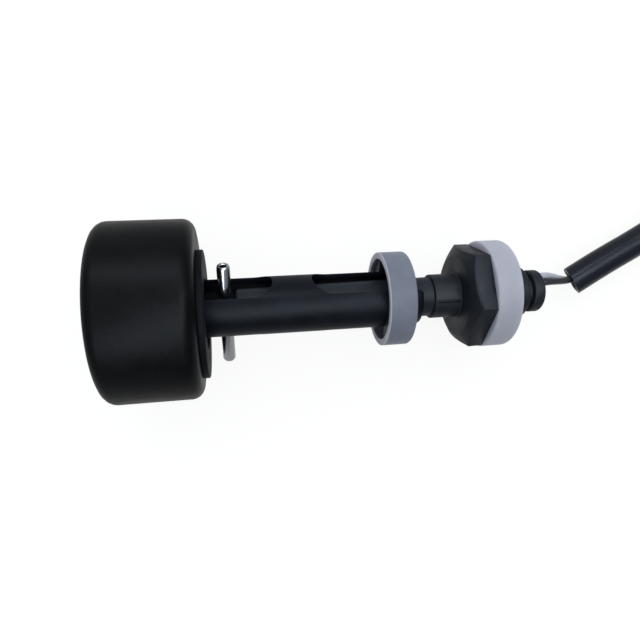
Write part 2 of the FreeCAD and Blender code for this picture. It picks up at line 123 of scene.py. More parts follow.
# A softbox laid aslant overhead and a narrow strip beyond it, which give the dark pieces their highlights:
# name, place, extent, turn in degrees and power.
LAMPS = (
    ("softbox", (0.03, -0.14, 0.5), (1.05, 0.27), 49.0, 10.6),
    ("strip", (-0.10, 0.46, 0.44), (0.6, 0.05), 0.0, 6.0),
)
LAMP_TINT = (0.82, 0.91, 1.0)
# Added to the lit floor where it is seen, so that it comes out white and still takes the shadow.
FLOOR_GLOW = 0.87


def linear(code):
    """An sRGB hex colour as linear RGBA."""
    parts = [int(code[i:i + 2], 16) / 255 for i in (1, 3, 5)]
    return [p / 12.92 if p <= 0.04045 else ((p + 0.055) / 1.055) ** 2.4 for p in parts] + [1.0]


def length(name, text, millimetres):
    """A length, given in millimetres and kept in metres."""
    return FloatProperty(name=name, description=text, default=millimetres * MM, min=0.0,
                         unit="LENGTH", precision=4)


def angle(name, text, degrees):
    """An angle, given in degrees and kept in radians."""
    return FloatProperty(name=name, description=text, default=math.radians(degrees), subtype="ANGLE")


def colour(name, text, code):
    """A colour, given as an sRGB hex code and kept as linear RGBA."""
    return FloatVectorProperty(name=name, description=text, default=linear(code), size=4,
                               min=0.0, max=1.0, subtype="COLOR")


class SensorSizes(bpy.types.PropertyGroup):
    """Sizes of the sensor's pieces that the CAD nodes' own extents don't give."""

    float_round: length("Float rounding", "Radius of the float's outer edges", 2.6)
    float_recess: length("Float recess", "Radius of the recess in the float's end", 9.6)
    float_recess_depth: length("Recess depth", "Depth of the recess in the float's end", 8.2)
    pin_diameter: length("Pin diameter", "Diameter of the spring pin", 3.0)
    pin_wall: length("Pin wall", "Thickness of the spring pin's rolled sheet", 0.65)
    pin_slit: length("Pin slit", "Width of the spring pin's slit", 0.7)
    pin_taper: length("Pin taper", "Length of the drawn-in ends of the spring pin", 0.5)
    sleeve_diameter: length("Sleeve diameter", "Outside of the guide sleeve", 13.2)
    sleeve_wall: length("Sleeve wall", "Wall of the guide sleeve", 1.0)
    slot_width: length("Slot width", "Width of the guide sleeve's slots", 8.6)
    slot_length: length("Slot length", "Length of the guide sleeve's lower slots", 22.8)
    slot_bridge: length("Slot bridge", "Plain wall between lower and upper slots", 8.9)
    finger_length: length("Finger length", "Length of the split fingers", 25.2)
    finger_taper: length("Finger taper", "Length of the drawn-in ends of the fingers", 1.3)
    finger_draw: length("Finger draw", "How far the ends of the fingers are drawn in", 0.6)
    finger_gap: length("Finger gap", "Gap between the fingers' lips and the probe", 0.15)
    lip_length: length("Lip length", "Length of the lips inside the fingers", 2.6)
    lip_slope: length("Lip slope", "Length of the slope behind the lips", 0.8)
    slot_turn: angle("Slot turn", "Turn of the slots and the pin about the axis", 123.0)
    flange_place: length("Flange place", "Near face of the flange, behind the mounting face", 25.3)
    flange_thickness: length("Flange thickness", "Thickness of the flange inside the lock ring", 4.2)
    flange_radius: length("Flange radius", "Radius of the flange inside the lock ring", 9.3)
    ring_wall: length("Ring wall", "Wall of the lock ring", 1.5)
    ring_web: length("Ring web", "Web of the lock ring", 1.2)
    # Depth of the band at the ring's mouth that takes the paler colour of the painted highlight.
    ring_lip_depth: length("Ring lip", "How far the thin lip of the lock ring reaches", 0.2)
    probe_tip: length("Probe tip", "Radius of the probe at its tip", 4.0)
    probe_round: length("Probe rounding", "Radius of the edge of the probe's tip", 0.8)
    probe_floor: length("Probe floor", "Thickness of the probe's tip below its bore", 1.6)
    probe_root: length("Probe root", "Radius of the probe at the seam with the collar", 4.65)
    seam_place: length("Seam place", "Seam between probe and collar, behind the mounting face", 18.0)
    probe_bore: length("Probe bore", "Radius of the bore for the reed switch", 2.6)
    tenon: length("Tenon", "Radius of the probe's tenon in the collar", 3.8)
    socket_depth: length("Socket depth", "Depth of the collar's socket for the tenon", 6.6)
    collar: length("Collar", "Radius of the collar behind the hexagon", 5.2)
    head_bore: length("Head bore", "Radius of the bore for the wires", 3.4)
    shank_length: length("Shank length", "Plain length of the spigot beyond the seal", 5.1)
    groove: length("Groove", "Radius at the bottom of the spigot's groove", 3.9)
    groove_width: length("Groove width", "Width of the spigot's groove", 1.7)
    bead: length("Bead", "Radius of the bead at the spigot's end", 5.1)
    hex_flats: length("Hexagon", "Width of the hexagon across its flats", 22.0)
    hex_thickness: length("Hexagon thickness", "Thickness of the hexagon", 5.4)
    hex_bevel: length("Hexagon bevel", "Bevel of the hexagon's corners", 1.6)
    hex_eye: length("Hexagon eye", "Radius of the opening in the hexagon for its stem", 4.6)
    hex_turn: angle("Hexagon turn", "Turn of the hexagon about the axis", 137.2)
    seal_round: length("Seal rounding", "Radius of the seal's edge at the tank wall", 1.0)
    ridge_turn: angle("Ridge turn", "Turn of the mould's parting ridge about the axis", 200.0)
    ridge_height: length("Ridge height", "Height of the mould's parting ridge", 0.25)
    flute_turn: angle("Flute turn", "Turn of the flute beside the collar's ridge", 195.0)
    flute_depth: length("Flute depth", "Depth of the flute beside the collar's ridge", 0.4)
    collar_fillet: length("Collar fillet", "Fillet between the collar and the hexagon", 0.2)
    collar_round: length("Collar rounding", "Radius of the collar's edge at the seam", 0.25)
    edge: length("Edge", "Softening of the moulded edges", 0.2)
    wire_diameter: length("Wire diameter", "Diameter of each lead wire", 1.7)
    wire_spacing: length("Wire spacing", "Distance between the two lead wires", 1.75)
    wire_twist: length("Wire twist", "Length of one whole twist of the pair", 50.0)
    wire_turn: angle("Wire turn", "Turn of the light wire where the pair starts", -77.4)
    tube_diameter: length("Tubing diameter", "Outside of the lead's tubing", 7.3)
    tube_slant: angle("Tubing slant", "Slant of the tubing's cut end", 22.0)
    tube_wall: length("Tubing wall", "Wall of the lead's tubing", 0.8)
    plug_width: length("Plug width", "Width of the plug's case", 12.6)
    plug_height: length("Plug height", "Height of the plug's case", 8.9)
    plug_length: length("Plug length", "Length of the plug's case", 19.0)
    plug_entry: length("Plug entry", "Depth of the plug's entry for the tubing", 4.0)
    panel_rim: length("Panel rim", "Rim round the panels in the plug's sides", 1.8)
    panel_depth: length("Panel depth", "Depth of the panels in the plug's sides", 0.45)
    mouth_depth: length("Mouth depth", "Depth of the sloped mouths of the plug's cavities", 0.6)
    mouth_flare: length("Mouth flare", "How much wider the mouths are than the cavities", 1.0)
    contact_side: length("Contact side", "Side of each square contact", 3.2)
    contact_pitch: length("Contact pitch", "Distance between the two contacts", 5.4)
    contact_depth: length("Contact depth", "Depth of the cavities for the contacts", 11.0)
    latch_width: length("Latch width", "Width of the plug's latch", 5.0)
    latch_height: length("Latch height", "Height of the plug's latch", 1.4)
    latch_length: length("Latch length", "Length of the plug's latch", 10.0)


class SensorColours(bpy.types.PropertyGroup):
    """Colours of the sensor's finishes."""

    rubber: colour("Rubber", "Float", "#08090b")
    rubber_worn: colour("Rubber, rubbed", "Rubbed patches of the float", "#0d0f11")
    washer: colour("Washer", "Washer and magnet", "#1a1b1d")
    plastic: colour("Black plastic", "Sleeve, stop ring and potting", "#0c1016")
    # Painted shade: near black, darker than the other black plastic, to stand for the shade inside the
    # sleeve.
    carrier: colour("Carrier", "Carrier of the magnet", "#030404")
    plastic_pale: colour("Black plastic, pale", "Cloudy patches of the black plastic", "#12171f")
    probe: colour("Probe plastic", "Probe", "#1f242a")
    probe_pale: colour("Probe plastic, pale", "Cloudy patches of the probe", "#282d34")
    head: colour("Head plastic", "Head", "#181c22")
    head_pale: colour("Head plastic, pale", "Cloudy patches of the head", "#1e232a")
    ring: colour("Ring", "Lock ring", "#7a7f8d")
    ring_pale: colour("Ring, pale", "Cloudy patches of the lock ring", "#838998")
    # Painted highlight: a paler colour on the ring's lip that stands in for the light catching its rim.
    ring_lip: colour("Ring lip", "Thin lip of the lock ring", "#c4c7cf")
    seal: colour("Seal", "Silicone seal", "#b4b6c2")
    seal_pale: colour("Seal, pale", "Cloudy patches of the seal", "#bcbeca")
    steel: colour("Steel", "Spring pin and reed leads", "#808184")
    wire_light: colour("Light wire", "Lighter lead wire", "#b4b8c4")
    wire_dark: colour("Dark wire", "Darker lead wire", "#101216")
    tube: colour("Tubing", "Tubing of the lead", "#1a1e29")
    nylon: colour("Plug nylon", "Housing of the plug", "#d8d4c6")
    brass: colour("Brass", "Contacts of the plug", "#b9985a")
    floor: colour("Floor", "Floor of the stage", "#767676")


def millimetres():
    """The sizes in millimetres, with the turns left in radians."""
    sizes = bpy.context.scene.sensor_sizes
    kinds = SensorSizes.bl_rna.properties
    return {name: getattr(sizes, name) / (MM if kinds[name].unit == "LENGTH" else 1.0)
            for name in SensorSizes.__annotations__}


def local_points(node):
    """A CAD node's points in the sensor's own millimetres."""
    flat = LAID.inverted()
    return [flat @ vertex.co for vertex in frame["nodes"][node].data.vertices]


def span(node, aside=0.0):
    """Far end, near end, outer and inner radius of a CAD node about a line aside of the sensor's axis."""
    points = local_points(node)
    places = [point.z for point in points]
    radii = [math.hypot(point.x, point.y - aside) for point in points]
    return min(places), max(places), max(radii), min(radii)


def start(name, add_primitive, **settings):
    """Add a primitive by itself and open it in edit mode with all of it selected."""
    bpy.ops.object.select_all(action="DESELECT")
    add_primitive(**settings)
    piece = bpy.context.active_object
    piece.name = name
    piece.data.name = name
    bpy.ops.object.transform_apply(location=True, rotation=True, scale=True)
    bpy.ops.object.mode_set(mode="EDIT")
    bpy.ops.mesh.select_mode(type="VERT")
    bpy.ops.mesh.select_all(action="SELECT")
    return piece


def pick(piece, kind, test):
    """Select only the vertices, edges or faces that pass the test."""
    bpy.ops.mesh.select_mode(type=kind)
    bpy.ops.mesh.select_all(action="DESELECT")
    mesh = bmesh.from_edit_mesh(piece.data)
    parts = {"VERT": mesh.verts, "EDGE": mesh.edges, "FACE": mesh.faces}[kind]
    chosen = [part for part in parts if test(part)]
    if not chosen:
        raise RuntimeError(f"{piece.name} has nothing to select")
    for part in chosen:
        part.select_set(True)
    mesh.select_flush_mode()
    bmesh.update_edit_mesh(piece.data)


def mend():
    """Merge doubles, turn all faces of the open mesh outwards and leave edit mode."""
    bpy.ops.mesh.select_mode(type="VERT")
    bpy.ops.mesh.select_all(action="SELECT")
    bpy.ops.mesh.remove_doubles(threshold=TOUCH)
    bpy.ops.mesh.normals_make_consistent(inside=False)
    bpy.ops.object.mode_set(mode="OBJECT")


def alone(piece):
    """Make a piece the only one selected, and active."""
    bpy.ops.object.select_all(action="DESELECT")
    piece.select_set(True)
    bpy.context.view_layer.objects.active = piece


def traced(name, corners, closed):
    """Open a new piece in edit mode as a line of straight runs through the corners."""
    piece = start(name, bpy.ops.mesh.primitive_plane_add, size=1.0)
    bpy.ops.mesh.merge(type="CENTER")
    bpy.ops.transform.translate(value=corners[0])
    for before, after in zip(corners, corners[1:]):
        bpy.ops.mesh.extrude_vertices_move(TRANSFORM_OT_translate={"value": after - before})
    if closed:
        ends = (corners[0], corners[-1])
        pick(piece, "VERT", lambda v: min((v.co - end).length for end in ends) < TOUCH)
        bpy.ops.mesh.edge_face_add()
    return piece


def turned(name, outline, steps=TURN_STEPS):
    """Spin an outline of (radius, place, rounding) points about the axis.

    A solid end starts and stops at 0.
    """
    corners = [Vector((radius, 0.0, place)) for radius, place, rounding in outline]
    piece = traced(name, corners, corners[0].x > 0)
    for corner, (radius, place, rounding) in zip(corners, outline):
        if rounding:
            pick(piece, "VERT", lambda v: (v.co - corner).length < TOUCH)
            bpy.ops.mesh.bevel(offset=rounding, segments=5, affect="VERTICES")
    bpy.ops.mesh.select_all(action="SELECT")
    bpy.ops.mesh.spin(steps=steps, angle=FULL_TURN, center=(0, 0, 0), axis=(0, 0, 1))
    mend()
    return piece


def raise_ridge(piece, turn, height, low, high, least, strips=1):
    """Raise or sink a strip of faces along the axis, as the mould's halves leave it where they meet.

    The strip lies at that turn, between two places and beyond the least radius.
    """
    alone(piece)
    bpy.ops.object.mode_set(mode="EDIT")
    side = Vector((math.cos(turn), math.sin(turn), 0.0))
    reach = strips * FULL_TURN / TURN_STEPS / 2

    def on_strip(face):
        middle = face.calc_center_median()
        flat = Vector((middle.x, middle.y, 0.0))
        return flat.length > least and low < middle.z < high and flat.angle(side) < reach

    pick(piece, "FACE", on_strip)
    bpy.ops.mesh.extrude_region_shrink_fatten(TRANSFORM_OT_shrink_fatten={"value": height})
    bpy.ops.object.mode_set(mode="OBJECT")


def apply_modifier(piece, kind, **settings):
    """Put a modifier on a piece and apply it."""
    alone(piece)
    modifier = piece.modifiers.new(kind.lower(), kind)
    for name, value in settings.items():
        setattr(modifier, name, value)
    bpy.ops.object.modifier_apply(modifier=modifier.name)


def cut(piece, tool, operation="DIFFERENCE"):
    """Cut, join or intersect a piece with a tool, which is used up."""
    apply_modifier(piece, "BOOLEAN", object=tool, operation=operation, solver="EXACT")
    bpy.data.meshes.remove(tool.data)


def soften(piece, width, limit=35.0):
    """Round the piece's edges sharper than the limit, in degrees, by a width in millimetres."""
    apply_modifier(piece, "BEVEL", width=width, segments=2, limit_method="ANGLE",
                   angle_limit=math.radians(limit), use_clamp_overlap=False)


def lay(piece, matrix=LAID, roll=0.0):
    """Lay a piece in its place on the frame and shade it."""
    alone(piece)
    piece.matrix_world = matrix @ Matrix.Rotation(roll, 4, "Z")
    bpy.ops.object.transform_apply(location=True, rotation=True, scale=True)
    bpy.ops.object.shade_smooth_by_angle(angle=SMOOTH_BELOW)


def hand_over(piece, body, slot, maker, *nodes):
    """Give a piece its finish and its body, and hide the CAD nodes that it stands for."""
    piece.data.materials.clear()
    piece.data.materials.append(finish_of(maker))
    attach(piece, body)
    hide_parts(*nodes)


def add(tree, kind, inputs=None, **settings):
    """Add a node with its settings, and give each input a value or a link."""
    node = tree.nodes.new(kind)
    for name, value in settings.items():
        setattr(node, name, value)
    for socket, value in (inputs or {}).items():
        if isinstance(value, bpy.types.NodeSocket):
            tree.links.new(value, node.inputs[socket])
        else:
            node.inputs[socket].default_value = value
    return node


def new_tree(name):
    """An empty material and its node tree."""
    material = bpy.data.materials.new(name)
    material.use_nodes = True
    material.node_tree.nodes.clear()
    return material, material.node_tree


def per(millimetre_size):
    """The texture scale that gives a pattern of that size in millimetres."""
    return 1.0 / (millimetre_size * MM)


def moulded(name, base, pale, patch, grain, depth, roughness, shine=0.3, shader=None):
    """A moulded finish: cloudy patches of two shades and a fine grain that breaks up the shine.

    base and pale name the colours, patch, grain and depth are in millimetres, roughness is a pair of ends,
    and shader holds further inputs.
    """
    shades = bpy.context.scene.sensor_colours
    material, tree = new_tree(name)
    place = add(tree, "ShaderNodeTexCoord").outputs["Object"]
    cloud = add(tree, "ShaderNodeTexNoise",
                {"Vector": place, "Scale": per(patch), "Detail": 5.0, "Roughness": 0.6}).outputs[0]
    share = add(tree, "ShaderNodeMapRange", {"Value": cloud, "From Min": 0.35, "From Max": 0.7}).outputs[0]
    shade = add(tree, "ShaderNodeMix",
                {0: share, 6: getattr(shades, base), 7: getattr(shades, pale)},
                data_type="RGBA").outputs[2]
    dullness = add(tree, "ShaderNodeMapRange",
                   {"Value": cloud, "From Min": 0.3, "From Max": 0.7,
                    "To Min": roughness[0], "To Max": roughness[1]}).outputs[0]
    fine = add(tree, "ShaderNodeTexNoise",
               {"Vector": place, "Scale": per(grain), "Detail": 2.0}).outputs[0]
    relief = add(tree, "ShaderNodeBump", {"Height": fine, "Distance": depth * MM}).outputs[0]
    inputs = {"Base Color": shade, "Roughness": dullness, "Normal": relief, "Specular IOR Level": shine}
    inputs.update(shader or {})
    surface = add(tree, "ShaderNodeBsdfPrincipled", inputs).outputs[0]
    add(tree, "ShaderNodeOutputMaterial", {"Surface": surface})
    return material


def milky(name, base, pale, patch, grain, depth, roughness, weight, reach):
    """A moulded finish that light enters, as far as a reach in millimetres."""
    return moulded(name, base, pale, patch, grain, depth, roughness, 0.07,
                   {"Subsurface Weight": weight, "Subsurface Scale": reach * MM,
                    "Subsurface Radius": (1.0, 0.95, 0.9)})


def foamed_rubber():
    """Foamed nitrile rubber with a moulded skin: dull and faintly pitted, with rubbed paler patches."""
    return moulded("foamed_nitrile_rubber", "rubber", "rubber_worn", 7.0, 0.45, 0.03, (0.36, 0.46), 0.034)


def washer_plastic():
    """Punched acetal sheet: smooth faces that shine at a low angle."""
    return moulded("acetal_sheet", "washer", "plastic_pale", 5.0, 0.3, 0.008, (0.5, 0.6), 0.022)


def sleeve_plastic():
    """Moulded polypropylene, polished tool: a soft satin shine with a little cloudiness."""
    return moulded("moulded_polypropylene", "plastic", "plastic_pale", 6.0, 0.35, 0.01, (0.34, 0.44), 0.044)


def probe_plastic():
    """Moulded acetal: dark and smooth, with a faint sheen where the slots let light in."""
    return moulded("moulded_acetal", "probe", "probe_pale", 5.0, 0.3, 0.01, (0.42, 0.54), 0.07)


def head_plastic():
    """Glass-filled nylon: greyer and duller, because the fibres roughen its skin."""
    return moulded("glass_filled_nylon", "head", "head_pale", 4.0, 0.3, 0.02, (0.42, 0.54), 0.09)


def ring_plastic():
    """Natural polypropylene: milky, with a soft shine."""
    return milky("natural_polypropylene_ring", "ring", "ring_pale",
                 8.0, 0.4, 0.008, (0.38, 0.48), 0.5, 2.0)


def ring_highlight_plastic():
    """The same polypropylene at the ring's thin lip, painted paler there: a painted highlight on the rim."""
    return milky("polypropylene_ring_painted_highlight", "ring_lip", "seal_pale",
                 8.0, 0.4, 0.008, (0.38, 0.48), 0.5, 2.0)


def seal_silicone():
    """Translucent silicone: milky and soft, with a waxy sheen."""
    return milky("translucent_silicone", "seal", "seal_pale",
                 9.0, 0.5, 0.012, (0.45, 0.58), 0.8, 4.0)


def spring_steel():
    """Rolled spring steel, bright: drawing lines along the pin stretch its highlights."""
    turn = bpy.context.scene.sensor_sizes.slot_turn
    shade = bpy.context.scene.sensor_colours.steel
    material, tree = new_tree("rolled_spring_steel")
    place = add(tree, "ShaderNodeTexCoord").outputs["Object"]
    # The pin's own direction becomes X, along which the lines run.
    along = (LAID @ Matrix.Rotation(turn, 4, "Z")).to_euler()
    lines = add(tree, "ShaderNodeMapping",
                {"Vector": place, "Rotation": along, "Scale": (6.0 * MM, 0.25 * MM, 0.25 * MM)},
                vector_type="TEXTURE").outputs[0]
    scratch = add(tree, "ShaderNodeTexNoise", {"Vector": lines, "Scale": 1.0, "Detail": 3.0}).outputs[0]
    dullness = add(tree, "ShaderNodeMapRange", {"Value": scratch, "To Min": 0.12, "To Max": 0.3}).outputs[0]
    relief = add(tree, "ShaderNodeBump", {"Height": scratch, "Distance": 0.006 * MM}).outputs[0]
    surface = add(tree, "ShaderNodeBsdfPrincipled",
                  {"Base Color": shade, "Metallic": 1.0,
                   "Roughness": dullness, "Normal": relief}).outputs[0]
    add(tree, "ShaderNodeOutputMaterial", {"Surface": surface})
    return material


def carrier_painted_shade():
    """Black polypropylene with a sparked finish and almost no shine, coloured near black as painted shade, so
    that it stays dark in the sleeve.
    """
    return moulded("polypropylene_painted_shade", "carrier", "plastic", 4.0, 0.3, 0.02, (0.6, 0.75), 0.02)


def wire_light_pvc():
    """Extruded PVC insulation, light grey: smooth and a little waxy."""
    return moulded("light_pvc_insulation", "wire_light", "seal_pale", 3.0, 0.2, 0.004, (0.32, 0.44))


def wire_dark_pvc():
    """Extruded PVC insulation, near black."""
    return moulded("dark_pvc_insulation", "wire_dark", "plastic_pale", 3.0, 0.2, 0.004, (0.3, 0.42))


def tube_pvc():
    """Soft PVC tubing: a fairly glossy skin with faint waves from the die."""
    return moulded("soft_pvc_tubing", "tube", "plastic_pale", 10.0, 1.2, 0.02, (0.24, 0.36), 0.08)


def plug_nylon():
    """Natural nylon: ivory and faintly see-through."""
    return moulded("natural_nylon", "nylon", "nylon", 6.0, 0.3, 0.006, (0.36, 0.46),
                   shader={"Subsurface Weight": 0.15, "Subsurface Scale": 0.8 * MM})


def contact_brass():
    """Stamped brass: bright and warm."""
    return moulded("stamped_brass", "brass", "brass", 2.0, 0.2, 0.004, (0.22, 0.34),
                   shader={"Metallic": 1.0})


def lead_metal():
    """Tinned nickel-iron wire."""
    return moulded("tinned_wire", "steel", "steel", 2.0, 0.2, 0.004, (0.25, 0.4),
                   shader={"Metallic": 1.0})


def ferrite():
    """Sintered ferrite: dark grey and dull."""
    return moulded("sintered_ferrite", "washer", "head_pale", 2.0, 0.2, 0.02, (0.55, 0.7))


def potting_resin():
    """Poured epoxy: black and glossy."""
    return moulded("poured_epoxy", "plastic", "wire_dark", 4.0, 1.0, 0.03, (0.18, 0.3))


def capsule_glass():
    """Green-tinted capsule glass."""
    material, tree = new_tree("reed_capsule_glass")
    place = add(tree, "ShaderNodeTexCoord").outputs["Object"]
    ripple = add(tree, "ShaderNodeTexNoise", {"Vector": place, "Scale": per(1.5)}).outputs[0]
    relief = add(tree, "ShaderNodeBump", {"Height": ripple, "Distance": 0.01 * MM}).outputs[0]
    surface = add(tree, "ShaderNodeBsdfPrincipled",
                  {"Base Color": linear("#cfe6d2"), "Roughness": 0.05, "IOR": 1.5,
                   "Transmission Weight": 1.0, "Normal": relief}).outputs[0]
    add(tree, "ShaderNodeOutputMaterial", {"Surface": surface})
    return material


FINISHES = {}


def finish_of(maker):
    """The finish that a maker gives, made once and shared."""
    if maker not in FINISHES:
        FINISHES[maker] = maker()
    return FINISHES[maker]


class SENSOR_OT_float(bpy.types.Operator):
    """Build the rubber float and its washer"""

    bl_idname = "sensor.build_float"
    bl_label = "Float and washer"

    def execute(self, context):
        size = millimetres()
        far, near, outer, bore = span("float")
        recess = size["float_recess"]
        floor = far + size["float_recess_depth"]
        body = turned("float_body", (
            (bore, near, 0.5),
            (outer, near, size["float_round"]),
            (outer, far, size["float_round"]),
            (recess, far, 0.6),
            (recess, floor, 0.4),
            (bore, floor, 0.4),
        ), WIDE_STEPS)
        lay(body)
        hand_over(body, "float_group", "float_rubber", foamed_rubber, "float")
        sides = [point.y for point in local_points("float_washer")]
        aside = (min(sides) + max(sides)) / 2
        far, near, outer, bore = span("float_washer", aside)
        washer = turned("float_disc", (
            (bore, near, 0.2),
            (outer, near, 0.25),
            (outer, far, 0.25),
            (bore, far, 0.2),
        ))
        lay(washer, LAID @ Matrix.Translation((0.0, aside, 0.0)))
        hand_over(washer, "float_group", "washer_plastic", washer_plastic, "float_washer")
        return {"FINISHED"}


class SENSOR_OT_pin(bpy.types.Operator):
    """Build the slotted spring pin"""

    bl_idname = "sensor.build_pin"
    bl_label = "Spring pin"

    def execute(self, context):
        size = millimetres()
        far, near = span("roll_pin")[:2]
        rolled_back = Matrix.Rotation(-size["slot_turn"], 4, "Z")
        reach = [(rolled_back @ point).x for point in local_points("roll_pin")]
        left = min(reach)
        long = max(reach) - left
        middle = (size["pin_diameter"] - size["pin_wall"]) / 2
        taper = size["pin_taper"]
        drawn_in = 1.0 - taper / 2 / middle
        pin = start("spring_pin", bpy.ops.mesh.primitive_circle_add, vertices=72, radius=middle,
                    location=(0, 0, left))
        bpy.ops.transform.resize(value=(drawn_in, drawn_in, 1.0), center_override=(0, 0, left))
        for step, scale in ((taper, 1 / drawn_in), (long - 2 * taper, 1.0), (taper, drawn_in)):
            bpy.ops.mesh.extrude_edges_move(TRANSFORM_OT_translate={"value": (0.0, 0.0, step)})
            bpy.ops.transform.resize(value=(scale, scale, 1.0), center_override=(0, 0, 0))
        slit = size["pin_slit"] / 2
        pick(pin, "FACE", lambda f: f.calc_center_median().x > 0 and abs(f.calc_center_median().y) < slit)
        bpy.ops.mesh.delete(type="FACE")
        mend()
        apply_modifier(pin, "SOLIDIFY", thickness=size["pin_wall"], offset=0.0)
        soften(pin, 0.08, 50.0)
        across = Matrix.Rotation(size["slot_turn"], 4, "Z") @ Matrix.Translation((0, 0, (far + near) / 2))
        lay(pin, LAID @ across @ Matrix.Rotation(math.pi / 2, 4, "Y"))
        hand_over(pin, "magnet_carrier", "pin_steel", spring_steel, "roll_pin")
        return {"FINISHED"}


class SENSOR_OT_sleeve(bpy.types.Operator):
    """Build the slotted guide sleeve"""

    bl_idname = "sensor.build_sleeve"
    bl_label = "Guide sleeve"

    def slot(self, name, width, low, high):
        """A tool for one slot through both walls, with round ends."""
        radius = width / 2
        tool = start(name, bpy.ops.mesh.primitive_circle_add, vertices=64, radius=radius, fill_type="NGON",
                     rotation=(0.0, math.pi / 2, 0.0), location=(-2 * width, 0.0, low + radius))
        pick(tool, "VERT", lambda v: v.co.z > low + radius + TOUCH)
        bpy.ops.transform.translate(value=(0.0, 0.0, high - low - width))
        bpy.ops.mesh.select_all(action="SELECT")
        bpy.ops.mesh.extrude_region_move(TRANSFORM_OT_translate={"value": (4 * width, 0.0, 0.0)})
        mend()
        return tool

    def execute(self, context):
        size = millimetres()
        far, near = span("guide_sleeve")[:2]
        outer = size["sleeve_diameter"] / 2
        bore = outer - size["sleeve_wall"]
        face = -size["flange_place"]
        back = face - size["flange_thickness"]
        lip = size["probe_root"] + size["finger_gap"]
        lip_back = near - size["lip_length"]
        sleeve = turned("slotted_sleeve", (
            (bore, far, 0.15),
            (outer, far, 0.25),
            (outer, back, 0.3),
            (size["flange_radius"], back, 0.25),
            (size["flange_radius"], face, 0.25),
            (outer, face, 0.0),
            (outer, near - size["finger_taper"], 0.0),
            (outer - size["finger_draw"], near, 0.2),
            (lip, near, 0.2),
            (lip, lip_back, 0.0),
            (bore, lip_back - size["lip_slope"], 0.0),
        ), SLEEVE_STEPS)
        root = near - size["finger_length"]
        low_end = root - size["slot_bridge"]
        cut(sleeve, self.slot("lower_slot", size["slot_width"], low_end - size["slot_length"], low_end))
        cut(sleeve, self.slot("upper_slot", size["slot_width"], root, near + size["slot_width"]))
        soften(sleeve, size["edge"])
        lay(sleeve, LAID, size["slot_turn"])
        hand_over(sleeve, "head", "black_plastic", sleeve_plastic, "guide_sleeve")
        return {"FINISHED"}


class SENSOR_OT_ring(bpy.types.Operator):
    """Build the white lock ring"""

    bl_idname = "sensor.build_ring"
    bl_label = "Lock ring"

    def execute(self, context):
        size = millimetres()
        far, near, outer, hole = span("lock_ring")
        inside = outer - size["ring_wall"]
        web = near - size["ring_web"]
        ring = turned("ring_cup", (
            (hole, near, 0.2),
            (outer, near, 0.6),
            (outer, far, 0.15),
            (inside, far, 0.15),
            (inside, web, 0.3),
            (hole, web, 0.2),
        ), WIDE_STEPS)
        # The faces at the ring's mouth get the paler colour, a painted highlight on the rim.
        lip = [face.index for face in ring.data.polygons if face.center.z < far + size["ring_lip_depth"]]
        lay(ring)
        hand_over(ring, "head", "ring_plastic", ring_plastic, "lock_ring")
        ring.data.materials.append(finish_of(ring_highlight_plastic))
        for index in lip:
            ring.data.polygons[index].material_index = 1
        return {"FINISHED"}


